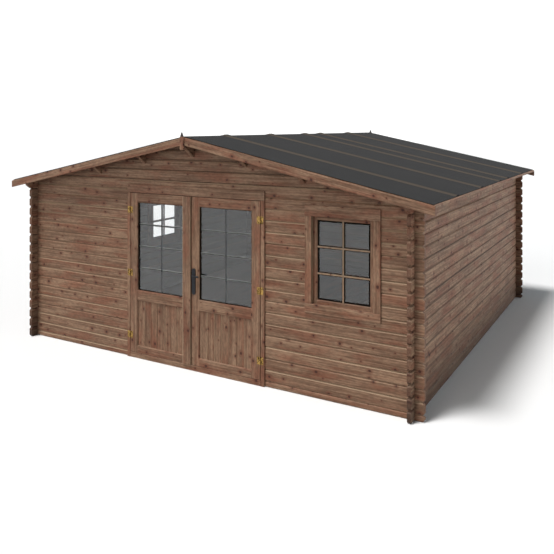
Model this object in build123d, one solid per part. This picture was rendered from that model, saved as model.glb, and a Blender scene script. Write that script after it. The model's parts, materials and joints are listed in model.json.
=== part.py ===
"""Garden log cabin with a low apex roof, half-glazed double doors and two windows.

Sizes are in millimetres. +X runs to the right along the front, +Y to the rear and +Z up.
The origin is on the ground under the middle of the plan. The doors are shut.
"""

import os

from build123d import *

# Plan, from the middle to the outer faces of the walls
half_width = 2433
half_depth = 2433

# Wall logs
log_thickness = 40
course = 114
log_chamfer = 11
log_gap = 0.3
corner_reach = 90
end_chamfer = 22
corbel_rise = 45

# Roof
ridge_height = 2485
eave_height = 1927
eave_reach = 232
verge_reach = 168
deck_thickness = 20
felt_thickness = 5
felt_lip_thickness = 4
felt_lip_depth = 22
lap_width = 150
lap_height = 12
lap_bevel = 45
lap_place_shares = (0.153, 0.347, 0.530, 0.625, 0.817)
barge_thickness = 18
barge_depth = 80
barge_drop = 12
fascia_thickness = 18
fascia_depth = 24
fascia_drop = 4
finial_width = 46
finial_thickness = 18
finial_rise = 46
finial_point = 58
finial_tail = 142

# Purlins
purlin_width = 45
purlin_depth = 146
purlin_spacing = 665
purlins_each_side = 2
ridge_purlin_depth = 200
purlin_end_rise = 116

# Floor
bearer_height = 36
bearer_width = 58
bearer_count = 9
bearer_end_gap = 2
floor_thickness = 19

# Frames round the doorway and the windows, and the edges of all joinery
frame_proud = 15
frame_web = 20
joint_gap = 0.3
arris = 3
moulding = 9

# Doorway
door_frame_half_width = 902
door_frame_top = 1943
door_jamb_face = 45
door_head_face = 95
door_head_web = 33
door_sill_height = 57
door_stop_width = 20
door_stop_thickness = 21

# Door leaves
leaf_thickness = 44
leaf_clearance = 5
meeting_gap = 9
outer_stile = 105
meeting_stile = 99
top_rail = 105
middle_rail = 119
bottom_rail = 83
glass_bottom = 762
door_glass_setback = 23
glass_thickness = 6
panel_setback = 12
panel_thickness = 18
strip_thickness = 15
strip_width = 104

# Door hinges
hinge_heights = (255, 950, 1655)
hinge_length = 74
hinge_plate_width = 30
hinge_plate_thickness = 3
knuckle_radius = 6
knuckle_gap = 0.5
axis_standoff = 7
plate_inset = 7

# Door handle
handle_inset = 29
spindle_height = 1010
handle_plate_width = 46
handle_plate_top = 1086
handle_plate_bottom = 812
handle_plate_thickness = 8
handle_plate_clip = 13
neck_radius = 9
neck_length = 22
inside_lever_length = 112
outside_lever_length = 85
lever_height = 18
lever_thickness = 14
lever_bevel = 4
lever_gap = 0.4

# Windows
window_width = 770
window_height = 1032
window_bottom = 808
window_side_face = 70
window_head_face = 108
window_sill_face = 90
front_window_share = 0.5454
side_window_drop = 57
casement_stile = 46
casement_rail = 36
casement_thickness = 30
casement_setback = 40
window_glass_setback = 13

# Worked out from the sizes above
half_course = course / 2
notch = course / 4
fall = (ridge_height - eave_height) / (half_width + eave_reach)
roof_thickness = deck_thickness + felt_thickness
under_ridge = ridge_height - roof_thickness
deck_half_width = half_width + eave_reach - fascia_thickness
barge_back = half_depth + verge_reach - barge_thickness
deck_half_depth = barge_back - felt_lip_thickness
leaf_opening_half = door_frame_half_width - door_jamb_face
leaf_opening_top = door_frame_top - door_head_face
leaf_outer = leaf_opening_half - leaf_clearance
leaf_inner = meeting_gap / 2
leaf_bottom = door_sill_height + leaf_clearance
leaf_top = leaf_opening_top - leaf_clearance
leaf_back = frame_proud - leaf_thickness
hinge_axis_x = leaf_outer + leaf_clearance / 2
hinge_axis_out = frame_proud + axis_standoff
handle_x = leaf_inner + handle_inset
front_window_middle = door_frame_half_width + front_window_share * (half_width - door_frame_half_width)

front_plane = Plane((0, -half_depth, 0), x_dir=(1, 0, 0), z_dir=(0, -1, 0))
right_plane = Plane((half_width, 0, 0), x_dir=(0, 1, 0), z_dir=(1, 0, 0))
rear_plane = Plane((0, half_depth, 0), x_dir=(-1, 0, 0), z_dir=(0, 1, 0))
left_plane = Plane((-half_width, 0, 0), x_dir=(0, -1, 0), z_dir=(-1, 0, 0))

nodes = {}


def roof_under(x):
    """Height of the deck's underside at a distance from the ridge."""
    return under_ridge - fall * abs(x)


def roof_top(x):
    """Height of the felt's top at a distance from the ridge."""
    return ridge_height - fall * abs(x)


def prism(points, direction, length):
    """A flat closed outline in space, pushed along a direction."""
    return extrude(make_face(Polyline(*points, close=True)), amount=length, dir=direction)


def upright_prism(plane, outline, back, front):
    """An outline drawn on a wall as (along, height), from one depth of the wall to another."""
    points = [plane.from_local_coords((along, height, back)) for along, height in outline]
    return prism(points, plane.z_dir, front - back)


def block(plane, along, heights, depths):
    """A squared piece on a wall, given its two ends along each direction."""
    (start, end), (low, high), (back, front) = along, heights, depths
    return upright_prism(plane, [(start, low), (end, low), (end, high), (start, high)], back, front)


def log_bar(plane, start, end, low, high):
    """A log's section, bevelled outside at both edges and inside at the upper one, run along the wall."""
    inner = -log_thickness
    section = [
        (0, low + log_chamfer),
        (0, high - log_chamfer),
        (-log_chamfer, high),
        (inner + log_chamfer, high),
        (inner, high - log_chamfer),
        (inner, low),
        (-log_chamfer, low),
    ]
    points = [plane.from_local_coords((start, height, out)) for out, height in section]
    return prism(points, plane.x_dir, end - start)


def notched_edge(height, notch_height, crossings):
    """One long edge of a log, stepped where a crossing wall's logs lie in it."""
    points = []
    for near, far in crossings:
        points += [(near, height), (near, notch_height), (far, notch_height), (far, height)]
    return points


def crossing_log(plane, half_cross, low, high):
    """A log that crosses both neighbouring walls, with a notch above and below at each."""
    end = half_cross + corner_reach
    crossings = [(-half_cross, log_thickness - half_cross), (half_cross - log_thickness, half_cross)]
    floor = low + log_gap / 2 if low > 0 else low
    ceiling = high - log_gap / 2
    outline = [(-end, floor + end_chamfer), (end_chamfer - end, floor)]
    if low > 0 or high - low > half_course:
        outline += notched_edge(floor, low + notch, crossings)
    outline += [(end - end_chamfer, floor), (end, floor + end_chamfer)]
    outline += [(end, ceiling - end_chamfer), (end - end_chamfer, ceiling)]
    outline += reversed(notched_edge(ceiling, high - notch, crossings))
    outline += [(end_chamfer - end, ceiling), (-end, ceiling - end_chamfer)]
    shape = upright_prism(plane, outline, -log_thickness, 0)
    return log_bar(plane, -end, end, floor, ceiling) & shape


def eaves_log(plane, low):
    """The top log of a side wall: it runs out to the barge boards and carries the roof's edge."""
    floor = low + log_gap / 2
    top = under_ridge
    corbel = half_depth + corner_reach
    crossings = [(-half_depth, log_thickness - half_depth), (half_depth - log_thickness, half_depth)]
    outline = [(-barge_back, floor + corbel_rise), (-corbel, floor)]
    outline += notched_edge(floor, low + notch, crossings)
    outline += [(corbel, floor), (barge_back, floor + corbel_rise), (barge_back, top)]
    outline += reversed(notched_edge(top, low + course - notch, crossings))
    outline += [(-barge_back, top)]
    shape = upright_prism(plane, outline, -log_thickness, 0)
    return log_bar(plane, -barge_back, barge_back, floor, top + course) & shape & under_roof()


def under_roof():
    """All the space below the deck."""
    reach = half_width + eave_reach
    edge = roof_under(reach)
    outline = [(-reach, 0), (reach, 0), (reach, edge), (0, under_ridge), (-reach, edge)]
    points = [(x, -barge_back, z) for x, z in outline]
    return prism(points, (0, 1, 0), 2 * barge_back)


def side_wall(plane, cuts):
    """A side wall: whole courses from the ground, then the eaves log."""
    whole = int(roof_under(half_width) // course)
    logs = [crossing_log(plane, half_depth, course * i, course * (i + 1)) for i in range(whole - 1)]
    logs.append(eaves_log(plane, course * (whole - 1)))
    return [piece for log in logs for piece in cut_away(log, cuts)]


def gable_wall(plane, cuts):
    """A gable wall: a half log on the ground, then whole courses up to the ridge."""
    joints = [0, half_course]
    while joints[-1] < under_ridge:
        joints.append(joints[-1] + course)
    space = under_roof()
    pieces = []
    for low, high in zip(joints, joints[1:]):
        log = crossing_log(plane, half_width, low, high)
        if high > roof_under(half_width + corner_reach):
            log = log & space
        pieces += cut_away(log, cuts)
    return pieces


def cut_away(timber, cuts):
    """What is left of a timber when the openings and the pieces let into it are cut, as separate solids."""
    for cut in cuts:
        timber = timber - cut
    return list(timber.solids())


def eased(timber):
    """A planed board with its sharp edges taken off."""
    return chamfer(timber.edges(), arris)


def moulded_edges(plane, along, heights, depths):
    """The flares that bevel the edges of an opening on both faces of the timbers round it."""
    (start, end), (low, high), (back, front) = along, heights, depths
    middle = Pos((start + end) / 2, (low + high) / 2)

    def outline(out, grow):
        return plane.offset(out) * middle * Rectangle(end - start + 2 * grow, high - low + 2 * grow)

    faces = ((front - moulding, front), (back + moulding, back))
    return [loft([outline(deep, 0), outline(face, moulding)]) for deep, face in faces]


def build_purlins():
    """Ridge and side purlins, bevelled on top to lie under the deck, with ends that slant up from the wall."""
    space = under_roof()

    def purlin(middle, depth):
        low = roof_under(middle) - depth
        nose = low + purlin_end_rise
        outline = [(-barge_back, nose), (-half_depth, low), (half_depth, low), (barge_back, nose)]
        outline += [(barge_back, under_ridge), (-barge_back, under_ridge)]
        back = middle - purlin_width / 2 - half_width
        return upright_prism(right_plane, outline, back, back + purlin_width) & space

    places = [side * purlin_spacing * (i + 1) for side in (-1, 1) for i in range(purlins_each_side)]
    nodes["ridge_purlin"] = [purlin(0, ridge_purlin_depth)]
    nodes["side_purlins"] = [purlin(place, purlin_depth) for place in places]
    return nodes["ridge_purlin"] + nodes["side_purlins"]


def build_walls(purlins):
    """The four log walls, cut for the doorway, the windows and the purlins."""
    through = (-log_thickness, 0)
    half_doorway = leaf_opening_half + frame_web
    doorway = block(front_plane, (-half_doorway, half_doorway), (0, leaf_opening_top), through)
    head_ends = (-door_frame_half_width, door_frame_half_width)
    doorway += block(front_plane, head_ends, (leaf_opening_top, leaf_opening_top + door_head_web), through)
    front_window = window_hole(front_plane, front_window_middle, window_bottom)
    side_window = window_hole(left_plane, 0, window_bottom - side_window_drop)

    front = gable_wall(front_plane, [doorway, front_window] + purlins)
    rear = gable_wall(rear_plane, purlins)
    door_top = leaf_opening_top + door_head_web - log_gap
    low_logs = [log for log in front if log.bounding_box().min.Z < door_top]
    nodes["front_wall_left"] = [log for log in low_logs if log.bounding_box().max.X < 0]
    nodes["front_wall_right"] = [log for log in low_logs if log.bounding_box().min.X > 0]
    nodes["front_gable"] = [log for log in front if log.bounding_box().min.Z >= door_top]
    nodes["rear_wall"] = [log for log in rear if log.bounding_box().min.Z < door_top]
    nodes["rear_gable"] = [log for log in rear if log.bounding_box().min.Z >= door_top]
    nodes["left_wall"] = side_wall(left_plane, [side_window])
    nodes["right_wall"] = side_wall(right_plane, [])


def build_roof():
    """Deck, felt with its laps, barge boards, fascias and finials."""
    for name, side in (("left", -1), ("right", 1)):
        nodes["roof_deck_" + name] = [roof_sheet(side, roof_thickness, felt_thickness, deck_half_depth)]
        felt = roof_sheet(side, felt_thickness, 0, barge_back)
        lips = roof_sheet(side, felt_lip_depth, 0, barge_back)
        lips -= roof_sheet(side, felt_lip_depth, 0, deck_half_depth)
        nodes["roof_felt_" + name] = [felt + lips]
        nodes["felt_laps_" + name] = [felt_lap(side, share) for share in lap_place_shares]
    boards = [barge_board(plane, side) for plane in (front_plane, rear_plane) for side in (-1, 1)]
    nodes["front_barge_boards"] = boards[:2]
    nodes["rear_barge_boards"] = boards[2:]
    nodes["eave_fascias"] = [fascia(left_plane), fascia(right_plane)]
    nodes["finials"] = [finial(front_plane), finial(rear_plane)]


def roof_sheet(side, below_low, below_high, half_length):
    """A sheet on one slope, between two depths below the felt's top."""
    outline = [
        (0, ridge_height - below_low),
        (deck_half_width, roof_top(deck_half_width) - below_low),
        (deck_half_width, roof_top(deck_half_width) - below_high),
        (0, ridge_height - below_high),
    ]
    points = [(side * x, -half_length, z) for x, z in outline]
    return prism(points, (0, 1, 0), 2 * half_length)


def felt_lap(side, share):
    """A low bevelled ridge where two felt sheets lap, from the roof's ridge to its eave."""
    middle = barge_back * (2 * share - 1)
    half = lap_width / 2
    section = [(-half, 0), (half, 0), (half - lap_bevel, lap_height), (lap_bevel - half, lap_height)]
    start = side * log_gap
    points = [(start, middle + y, roof_top(start) + z) for y, z in section]
    slope = Vector(side * (deck_half_width - log_gap), 0, roof_top(deck_half_width) - roof_top(start))
    return prism(points, slope.normalized(), slope.length)


def barge_board(plane, side):
    """A barge board on one slope of a gable, cut upright at the ridge and at the eave."""
    reach = half_width + eave_reach
    top, low = barge_drop, barge_drop + barge_depth
    outline = [
        (side * log_gap, ridge_height - low),
        (side * reach, roof_top(reach) - low),
        (side * reach, roof_top(reach) - top),
        (side * log_gap, ridge_height - top),
    ]
    return eased(upright_prism(plane, outline, verge_reach - barge_thickness, verge_reach))


def fascia(plane):
    """The slim board that closes the deck along an eave, between the barge boards."""
    top = roof_top(half_width + eave_reach) - fascia_drop
    depths = (eave_reach - fascia_thickness, eave_reach)
    return eased(block(plane, (-barge_back, barge_back), (top - fascia_depth, top), depths))


def finial(plane):
    """The pointed board over the joint of two barge boards."""
    half = finial_width / 2
    tip = ridge_height + finial_rise
    shoulder = tip - finial_point
    tail = ridge_height - finial_tail
    outline = [(-half, tail), (half, tail), (half, shoulder), (0, tip), (-half, shoulder)]
    return eased(upright_prism(plane, outline, verge_reach, verge_reach + finial_thickness))


def build_floor():
    """Floor boards as one sheet between the walls, on bearers that lie on the ground."""
    inside_x = half_width - log_thickness
    inside_y = half_depth - log_thickness
    depths = (-half_depth - inside_y, inside_y - half_depth)
    heights = (bearer_height, bearer_height + floor_thickness)
    frame_ends = (-door_frame_half_width, door_frame_half_width)
    door_recess = block(front_plane, frame_ends, heights, (-log_thickness - frame_proud, 0))
    nodes["floor_boards"] = [block(front_plane, (-inside_x, inside_x), heights, depths) - door_recess]
    half_run = inside_y - bearer_width
    bearers = []
    for i in range(bearer_count):
        middle = half_run * (2 * i / (bearer_count - 1) - 1)
        ends = (bearer_end_gap - inside_x, inside_x - bearer_end_gap)
        run = (-half_depth - middle - bearer_width / 2, -half_depth - middle + bearer_width / 2)
        bearers.append(block(front_plane, ends, (0, bearer_height), run))
    nodes["floor_bearers"] = bearers


def channel(plane, section_origin, section_dir, run_dir, length, face, web):
    """A frame member whose two flanges clasp the cut ends of the logs."""
    inner = -log_thickness
    back = inner - frame_proud
    section = [
        (0, frame_proud - arris),
        (arris, frame_proud),
        (face - arris, frame_proud),
        (face, frame_proud - arris),
        (face, 0),
        (web, 0),
        (web, inner),
        (face, inner),
        (face, back + arris),
        (face - arris, back),
        (arris, back),
        (0, back + arris),
    ]
    origin = plane.from_local_coords(section_origin)
    points = [origin + section_dir * across + plane.z_dir * out for across, out in section]
    return prism(points, run_dir, length)


def build_door_frame():
    """Two jambs under a head, a sill between the jambs, and the stops that the leaves close against."""
    plane = front_plane
    half = leaf_opening_half
    jamb_top = leaf_opening_top - joint_gap
    left = channel(plane, (-half, 0, 0), -plane.x_dir, plane.y_dir, jamb_top, door_jamb_face, frame_web)
    right = channel(plane, (half, 0, 0), plane.x_dir, plane.y_dir, jamb_top, door_jamb_face, frame_web)
    head_start = (-door_frame_half_width, leaf_opening_top, 0)
    head_length = 2 * door_frame_half_width
    head = channel(plane, head_start, plane.y_dir, plane.x_dir, head_length, door_head_face, door_head_web)
    nodes["door_frame"] = [left, right, head]

    frame_back = -log_thickness - frame_proud
    sill = block(plane, (-half, half), (0, door_sill_height), (frame_back, frame_proud))
    nodes["door_sill"] = [eased(sill)]

    depths = (frame_back, frame_back + door_stop_thickness)
    inner = half - door_stop_width
    head_stop = (leaf_opening_top - door_stop_width, leaf_opening_top)
    side_stop = (door_sill_height, head_stop[0] - joint_gap)
    stops = [block(plane, ends, side_stop, depths) for ends in ((-half, -inner), (inner, half))]
    stops.append(block(plane, (-half, half), head_stop, depths))
    nodes["door_stops"] = stops


def build_leaf(name, side):
    """A door leaf: stiles and rails round a glass pane above and a boarded panel below."""
    plane = front_plane

    def piece(near, far, low, high, back, front):
        return block(plane, sorted((side * near, side * far)), (low, high), (back, front))

    inner, outer = leaf_inner + meeting_stile, leaf_outer - outer_stile
    glass_top = leaf_top - top_rail
    panel_top = glass_bottom - middle_rail
    panel_bottom = leaf_bottom + bottom_rail
    rail_near, rail_far = inner + joint_gap, outer - joint_gap
    rails = ((leaf_bottom, panel_bottom), (panel_top, glass_bottom), (glass_top, leaf_top))
    timbers = [piece(leaf_inner, inner, leaf_bottom, leaf_top, leaf_back, frame_proud)]
    timbers.append(piece(outer, leaf_outer, leaf_bottom, leaf_top, leaf_back, frame_proud))
    timbers += [piece(rail_near, rail_far, low, high, leaf_back, frame_proud) for low, high in rails]
    width = sorted((side * inner, side * outer))
    flares = moulded_edges(plane, width, (glass_bottom, glass_top), (leaf_back, frame_proud))
    flares += moulded_edges(plane, width, (panel_bottom, panel_top), (leaf_back, frame_proud))
    nodes[name + "_door_frame"] = [solid for timber in timbers for solid in cut_away(timber, flares)]

    panel_front = frame_proud - panel_setback
    panel_depths = (panel_front - panel_thickness, panel_front)
    nodes[name + "_door_panel"] = [piece(inner, outer, panel_bottom, panel_top, *panel_depths)]
    glass_front = frame_proud - door_glass_setback
    glass_depths = (glass_front - glass_thickness, glass_front)
    nodes[name + "_door_glass"] = [piece(inner, outer, glass_bottom, glass_top, *glass_depths)]

    fixed, moving = zip(*(hinge(side, height) for height in hinge_heights))
    nodes[name + "_door_frame_hinges"] = list(fixed)
    nodes[name + "_door_leaf_hinges"] = list(moving)


def hinge(side, middle):
    """A butt hinge on the face of the door: the frame's half below, the leaf's half above."""
    plane = front_plane
    axis = side * hinge_axis_x
    half_length = hinge_length / 2
    depths = (frame_proud, frame_proud + hinge_plate_thickness)

    def half(toward, low, high):
        knuckle_start = plane.from_local_coords((axis, low, hinge_axis_out))
        knuckle = extrude(Plane(knuckle_start, z_dir=plane.y_dir) * Circle(knuckle_radius), amount=high - low)
        near, far = axis + toward * plate_inset, axis + toward * (plate_inset + hinge_plate_width)
        plate = block(plane, sorted((near, far)), (middle - half_length, middle + half_length), depths)
        tab = block(plane, sorted((axis, near)), (low, high), depths)
        return knuckle + plate + tab

    split = knuckle_gap / 2
    fixed = half(side, middle - half_length, middle - split)
    moving = half(-side, middle + split, middle + half_length)
    return fixed, moving


def build_meeting_strip():
    """The cover strip on the left leaf's meeting stile."""
    ends = (-leaf_inner - strip_width, -leaf_inner)
    depths = (frame_proud, frame_proud + strip_thickness)
    nodes["meeting_strip"] = [eased(block(front_plane, ends, (leaf_bottom, leaf_top), depths))]


def build_handle():
    """Long plates with clipped corners on both faces of the right leaf, and a lever on each."""
    plane = front_plane
    plate_ends = (handle_x - handle_plate_width / 2, handle_x + handle_plate_width / 2)
    plate_heights = (handle_plate_bottom, handle_plate_top)

    def plate(out):
        """A long plate with its four corners clipped."""
        whole = block(plane, plate_ends, plate_heights, (out, out + handle_plate_thickness))
        return chamfer(whole.edges().filter_by(Axis.Y), handle_plate_clip)

    def lever(length, seat, way):
        """A neck that stands off a plate, and a bar on it with its edges taken off."""
        arm = seat + way * neck_length
        root = plane.offset(seat) * Pos(handle_x, spindle_height)
        neck = extrude(root * Circle(neck_radius), neck_length, way * plane.z_dir)
        ends = (handle_x - lever_height / 2, handle_x + length)
        heights = (spindle_height - lever_height / 2, spindle_height + lever_height / 2)
        bar = block(plane, ends, heights, sorted((arm, arm + way * lever_thickness)))
        return neck + chamfer(bar.edges(), lever_bevel)

    plate_front = frame_proud + handle_plate_thickness
    plate_back = leaf_back - handle_plate_thickness
    nodes["outside_handle"] = [plate(frame_proud)]
    nodes["inside_handle_plate"] = [plate(plate_back)]
    nodes["outside_lever"] = [lever(outside_lever_length, plate_front + lever_gap, 1)]
    nodes["inside_lever"] = [lever(inside_lever_length, plate_back - lever_gap, -1)]


def window_hole(plane, middle, bottom):
    """The hole in the logs that a window frame fills."""
    half = window_width / 2
    inner_half = half - window_side_face + frame_web
    low = bottom + window_sill_face
    high = bottom + window_height - window_head_face
    through = (-log_thickness, 0)
    horns = (middle - half, middle + half)
    hole = block(plane, (middle - inner_half, middle + inner_half), (low, high), through)
    hole += block(plane, horns, (low - frame_web, low), through)
    return hole + block(plane, horns, (high, high + frame_web), through)


def build_window(name, plane, middle, bottom):
    """A window: a channel frame clasping the logs, a set-back casement and its glass."""
    half = window_width / 2
    left, right = middle - half + window_side_face, middle + half - window_side_face
    low, high = bottom + window_sill_face, bottom + window_height - window_head_face
    start = middle - half
    foot, run = low + joint_gap, high - low - 2 * joint_gap
    nodes[name + "_window_frame"] = [
        channel(plane, (start, low, 0), -plane.y_dir, plane.x_dir, window_width, window_sill_face, frame_web),
        channel(plane, (start, high, 0), plane.y_dir, plane.x_dir, window_width, window_head_face, frame_web),
        channel(plane, (left, foot, 0), -plane.x_dir, plane.y_dir, run, window_side_face, frame_web),
        channel(plane, (right, foot, 0), plane.x_dir, plane.y_dir, run, window_side_face, frame_web),
    ]

    casement_front = frame_proud - casement_setback
    depths = (casement_front - casement_thickness, casement_front)
    glass_left, glass_right = left + casement_stile, right - casement_stile
    glass_low, glass_high = low + casement_rail, high - casement_rail
    glass_along, glass_heights = (glass_left, glass_right), (glass_low, glass_high)
    rail_ends = (glass_left + joint_gap, glass_right - joint_gap)
    timbers = [
        block(plane, (left, glass_left), (low, high), depths),
        block(plane, (glass_right, right), (low, high), depths),
        block(plane, rail_ends, (low, glass_low), depths),
        block(plane, rail_ends, (glass_high, high), depths),
    ]
    flares = moulded_edges(plane, glass_along, glass_heights, depths)
    nodes[name + "_window_casement"] = [solid for timber in timbers for solid in cut_away(timber, flares)]
    glass_front = casement_front - window_glass_setback
    glass_depths = (glass_front - glass_thickness, glass_front)
    nodes[name + "_window_glass"] = [block(plane, glass_along, glass_heights, glass_depths)]


build_walls(build_purlins())
build_roof()
build_floor()
build_door_frame()
build_leaf("left", -1)
build_leaf("right", 1)
build_meeting_strip()
build_handle()
build_window("front", front_plane, front_window_middle, window_bottom)
build_window("left", left_plane, 0, window_bottom - side_window_drop)

os.makedirs("parts", exist_ok=True)
for node_name, solids in nodes.items():
    export_step(Compound(children=[Part() + solid for solid in solids]), f"parts/{node_name}.step")
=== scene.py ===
# %% [markdown]
# # Dressing a garden log cabin
# The cabin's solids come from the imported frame: logs, roof, joinery and ironwork, each a named node at its
# true place, in metres. They could be remodelled here, but then the look and the mechanics would drift
# apart. So this lesson keeps every solid whose shape is right, gives it a finish, and adds only what repeats
# too often or too finely for the solids: boards, glazing bars, seals and screws.

# %% Load the frame
import json
import math

import bmesh
import bpy
from mathutils import Matrix, Vector

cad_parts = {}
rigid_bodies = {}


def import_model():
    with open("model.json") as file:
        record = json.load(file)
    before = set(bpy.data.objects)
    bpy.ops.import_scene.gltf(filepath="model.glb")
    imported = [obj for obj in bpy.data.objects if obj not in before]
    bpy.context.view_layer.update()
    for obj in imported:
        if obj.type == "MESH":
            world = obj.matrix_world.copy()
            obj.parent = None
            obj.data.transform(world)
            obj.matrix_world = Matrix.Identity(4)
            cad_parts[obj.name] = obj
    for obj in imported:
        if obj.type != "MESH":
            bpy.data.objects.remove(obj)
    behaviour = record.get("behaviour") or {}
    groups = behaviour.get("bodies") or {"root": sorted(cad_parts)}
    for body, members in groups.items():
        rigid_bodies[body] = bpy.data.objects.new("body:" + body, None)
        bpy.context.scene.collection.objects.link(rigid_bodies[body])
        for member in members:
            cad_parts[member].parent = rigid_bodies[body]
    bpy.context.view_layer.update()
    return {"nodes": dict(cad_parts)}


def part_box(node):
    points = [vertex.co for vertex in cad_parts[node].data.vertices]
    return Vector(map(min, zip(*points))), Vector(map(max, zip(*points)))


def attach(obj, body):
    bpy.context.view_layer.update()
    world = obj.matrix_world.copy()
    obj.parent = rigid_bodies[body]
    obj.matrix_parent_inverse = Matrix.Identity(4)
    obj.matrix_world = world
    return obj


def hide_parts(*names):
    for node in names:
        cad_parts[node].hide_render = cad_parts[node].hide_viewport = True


for leftover in list(bpy.data.objects):
    bpy.data.objects.remove(leftover)
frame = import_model()
nodes = frame["nodes"]

# %% [markdown]
# ## The camera
# All upright edges of the cabin stay upright in the picture, and the horizon lies well above its middle.
# That is a level camera whose film is shifted down, not a camera that looks down: tilting it would make the
# corners converge. Position, turn and focal length were fitted to the log courses and the corners.

# %% Place the camera
scene = bpy.context.scene
picture_size = 554
focal_pixels = 659.6
horizon_row = 126.2
film_width = 36
camera_place = (4.2739, -8.0607, 2.591)
camera_turn = 0.5217

camera = bpy.data.objects.new("camera", bpy.data.cameras.new("camera"))
camera.data.sensor_width = film_width
camera.data.lens = film_width * focal_pixels / picture_size
camera.data.shift_y = (horizon_row - picture_size / 2) / picture_size
camera.data.clip_end = 500
camera.location = camera_place
camera.rotation_euler = (math.pi / 2, 0, camera_turn)
scene.collection.objects.link(camera)
scene.camera = camera
scene.view_settings.view_transform = "Standard"
print("lens", round(camera.data.lens, 2), "mm, shift", round(camera.data.shift_y, 4))

# %% [markdown]
# ## Node sheets that read like sums
# A finish is a sheet of nodes. Placing nodes one by one hides the idea behind the wiring, so two small
# classes do the wiring: a Socket can be added, multiplied and compared like a number, and a Sheet makes any
# other node from its type, its settings and its sockets.


# %% A socket that works in sums
class Socket:
    """One output on a sheet of nodes."""

    def __init__(self, sheet, link):
        self.sheet = sheet
        self.link = link

    def __getitem__(self, name):
        return Socket(self.sheet, self.link.node.outputs[name])

    def math(self, operation, first, second=0.0):
        return self.sheet.node("ShaderNodeMath", {"operation": operation}, {0: first, 1: second})

    def __add__(self, other):
        return self.math("ADD", self, other)

    def __sub__(self, other):
        return self.math("SUBTRACT", self, other)

    def __rsub__(self, other):
        return self.math("SUBTRACT", other, self)

    def __mul__(self, other):
        return self.math("MULTIPLY", self, other)

    def __truediv__(self, other):
        return self.math("DIVIDE", self, other)

    def __gt__(self, other):
        return self.math("GREATER_THAN", self, other)

    def __lt__(self, other):
        return self.math("LESS_THAN", self, other)

    def __abs__(self):
        return self.math("ABSOLUTE", self)

    __radd__ = __add__
    __rmul__ = __mul__

    def floor(self):
        return self.math("FLOOR", self)

    def fraction(self):
        return self.math("FRACT", self)

    def root(self):
        return self.math("SQRT", self)

    def at_least(self, low):
        return self.math("MAXIMUM", self, low)

    def at_most(self, high):
        return self.math("MINIMUM", self, high)

    def rise(self, low, high):
        """A soft step from 0 at low to 1 at high."""
        sockets = {"Value": self, "From Min": low, "From Max": high}
        return self.sheet.node("ShaderNodeMapRange", {"interpolation_type": "SMOOTHSTEP"}, sockets)


# %% The sheet that makes nodes
class Sheet:
    """A tree of nodes, for a finish, for the sky or for a shape."""

    def __init__(self, tree):
        self.tree = tree

    def node(self, kind, settings=None, sockets=None, output=0):
        made = self.tree.nodes.new(kind)
        for name, value in (settings or {}).items():
            setattr(made, name, value)
        for name, value in (sockets or {}).items():
            if isinstance(value, Socket):
                self.tree.links.new(value.link, made.inputs[name])
            else:
                made.inputs[name].default_value = value
        return Socket(self, made.outputs[output]) if made.outputs else None

    def split(self, vector):
        parts = self.node("ShaderNodeSeparateXYZ", sockets={0: vector})
        return parts["X"], parts["Y"], parts["Z"]

    def join(self, x, y, z):
        return self.node("ShaderNodeCombineXYZ", sockets={0: x, 1: y, 2: z})

    def blend(self, share, first, second):
        """Two colours mixed."""
        return self.node("ShaderNodeMix", {"data_type": "RGBA"}, {0: share, 6: first, 7: second}, output=2)

    def scale(self, colour, amount):
        return self.node("ShaderNodeVectorMath", {"operation": "SCALE"}, {0: colour, "Scale": amount})

    def noise(self, x, y, z, detail=2.0):
        """Cloudy values from 0 to 1."""
        sockets = {"Vector": self.join(x, y, z), "Scale": 1.0, "Detail": detail}
        return self.node("ShaderNodeTexNoise", sockets=sockets)

    def dice(self, number):
        """Three values from 0 to 1 that stay the same for the same number."""
        rolled = self.node("ShaderNodeTexWhiteNoise", {"noise_dimensions": "1D"}, {"W": number})
        return self.split(rolled["Color"])

    def in_view(self):
        """1 where a thing is seen, also in a mirror or through glass, and 0 where it only gives light."""
        ray = self.node("ShaderNodeLightPath")
        seen = ray["Is Camera Ray"] + ray["Is Glossy Ray"] + ray["Is Transmission Ray"]
        return seen.at_most(1.0) * (ray["Diffuse Depth"] < 0.5)


# %% The sheet of a finish
class Finish(Sheet):
    """The sheet of one material, which reads a point's place on the object."""

    def __init__(self, name):
        self.material = bpy.data.materials.new(name)
        self.material.use_nodes = True
        super().__init__(self.material.node_tree)
        self.tree.nodes.clear()

    def place(self):
        return self.split(self.node("ShaderNodeTexCoord", output="Object"))

    def facing(self):
        return self.split(self.node("ShaderNodeTexCoord", output="Normal"))

    def bump(self, height, distance):
        return self.node("ShaderNodeBump", sockets={"Height": height, "Distance": distance})

    def surface(self, shader):
        self.node("ShaderNodeOutputMaterial", sockets={"Surface": shader})
        print("finish:", self.material.name, "with", len(self.tree.nodes), "nodes")
        return self.material

    def skin(self, sockets):
        return self.surface(self.node("ShaderNodeBsdfPrincipled", sockets=sockets))


def srgb(red, green, blue):
    """A colour written as it is seen on a screen, from 0 to 255."""
    shares = [value / 255 for value in (red, green, blue)]
    linear = [((share + 0.055) / 1.055) ** 2.4 if share > 0.04 else share / 12.92 for share in shares]
    return (*linear, 1.0)


# %% [markdown]
# ## The studio
# The cabin stands on white. One lamp hangs high above the front, a little to the left, so that the eaves
# shade the side wall and a soft shadow lies along it. A second one stands low before the front, and a third
# one on the right lights the side wall alone: it comes from slightly behind, so that the rebates of doors and
# windows stay dark. A bright even sky could light all three faces, but it would fill the shadows. The sky
# here is dim, and the camera sees plain white in its place.


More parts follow.
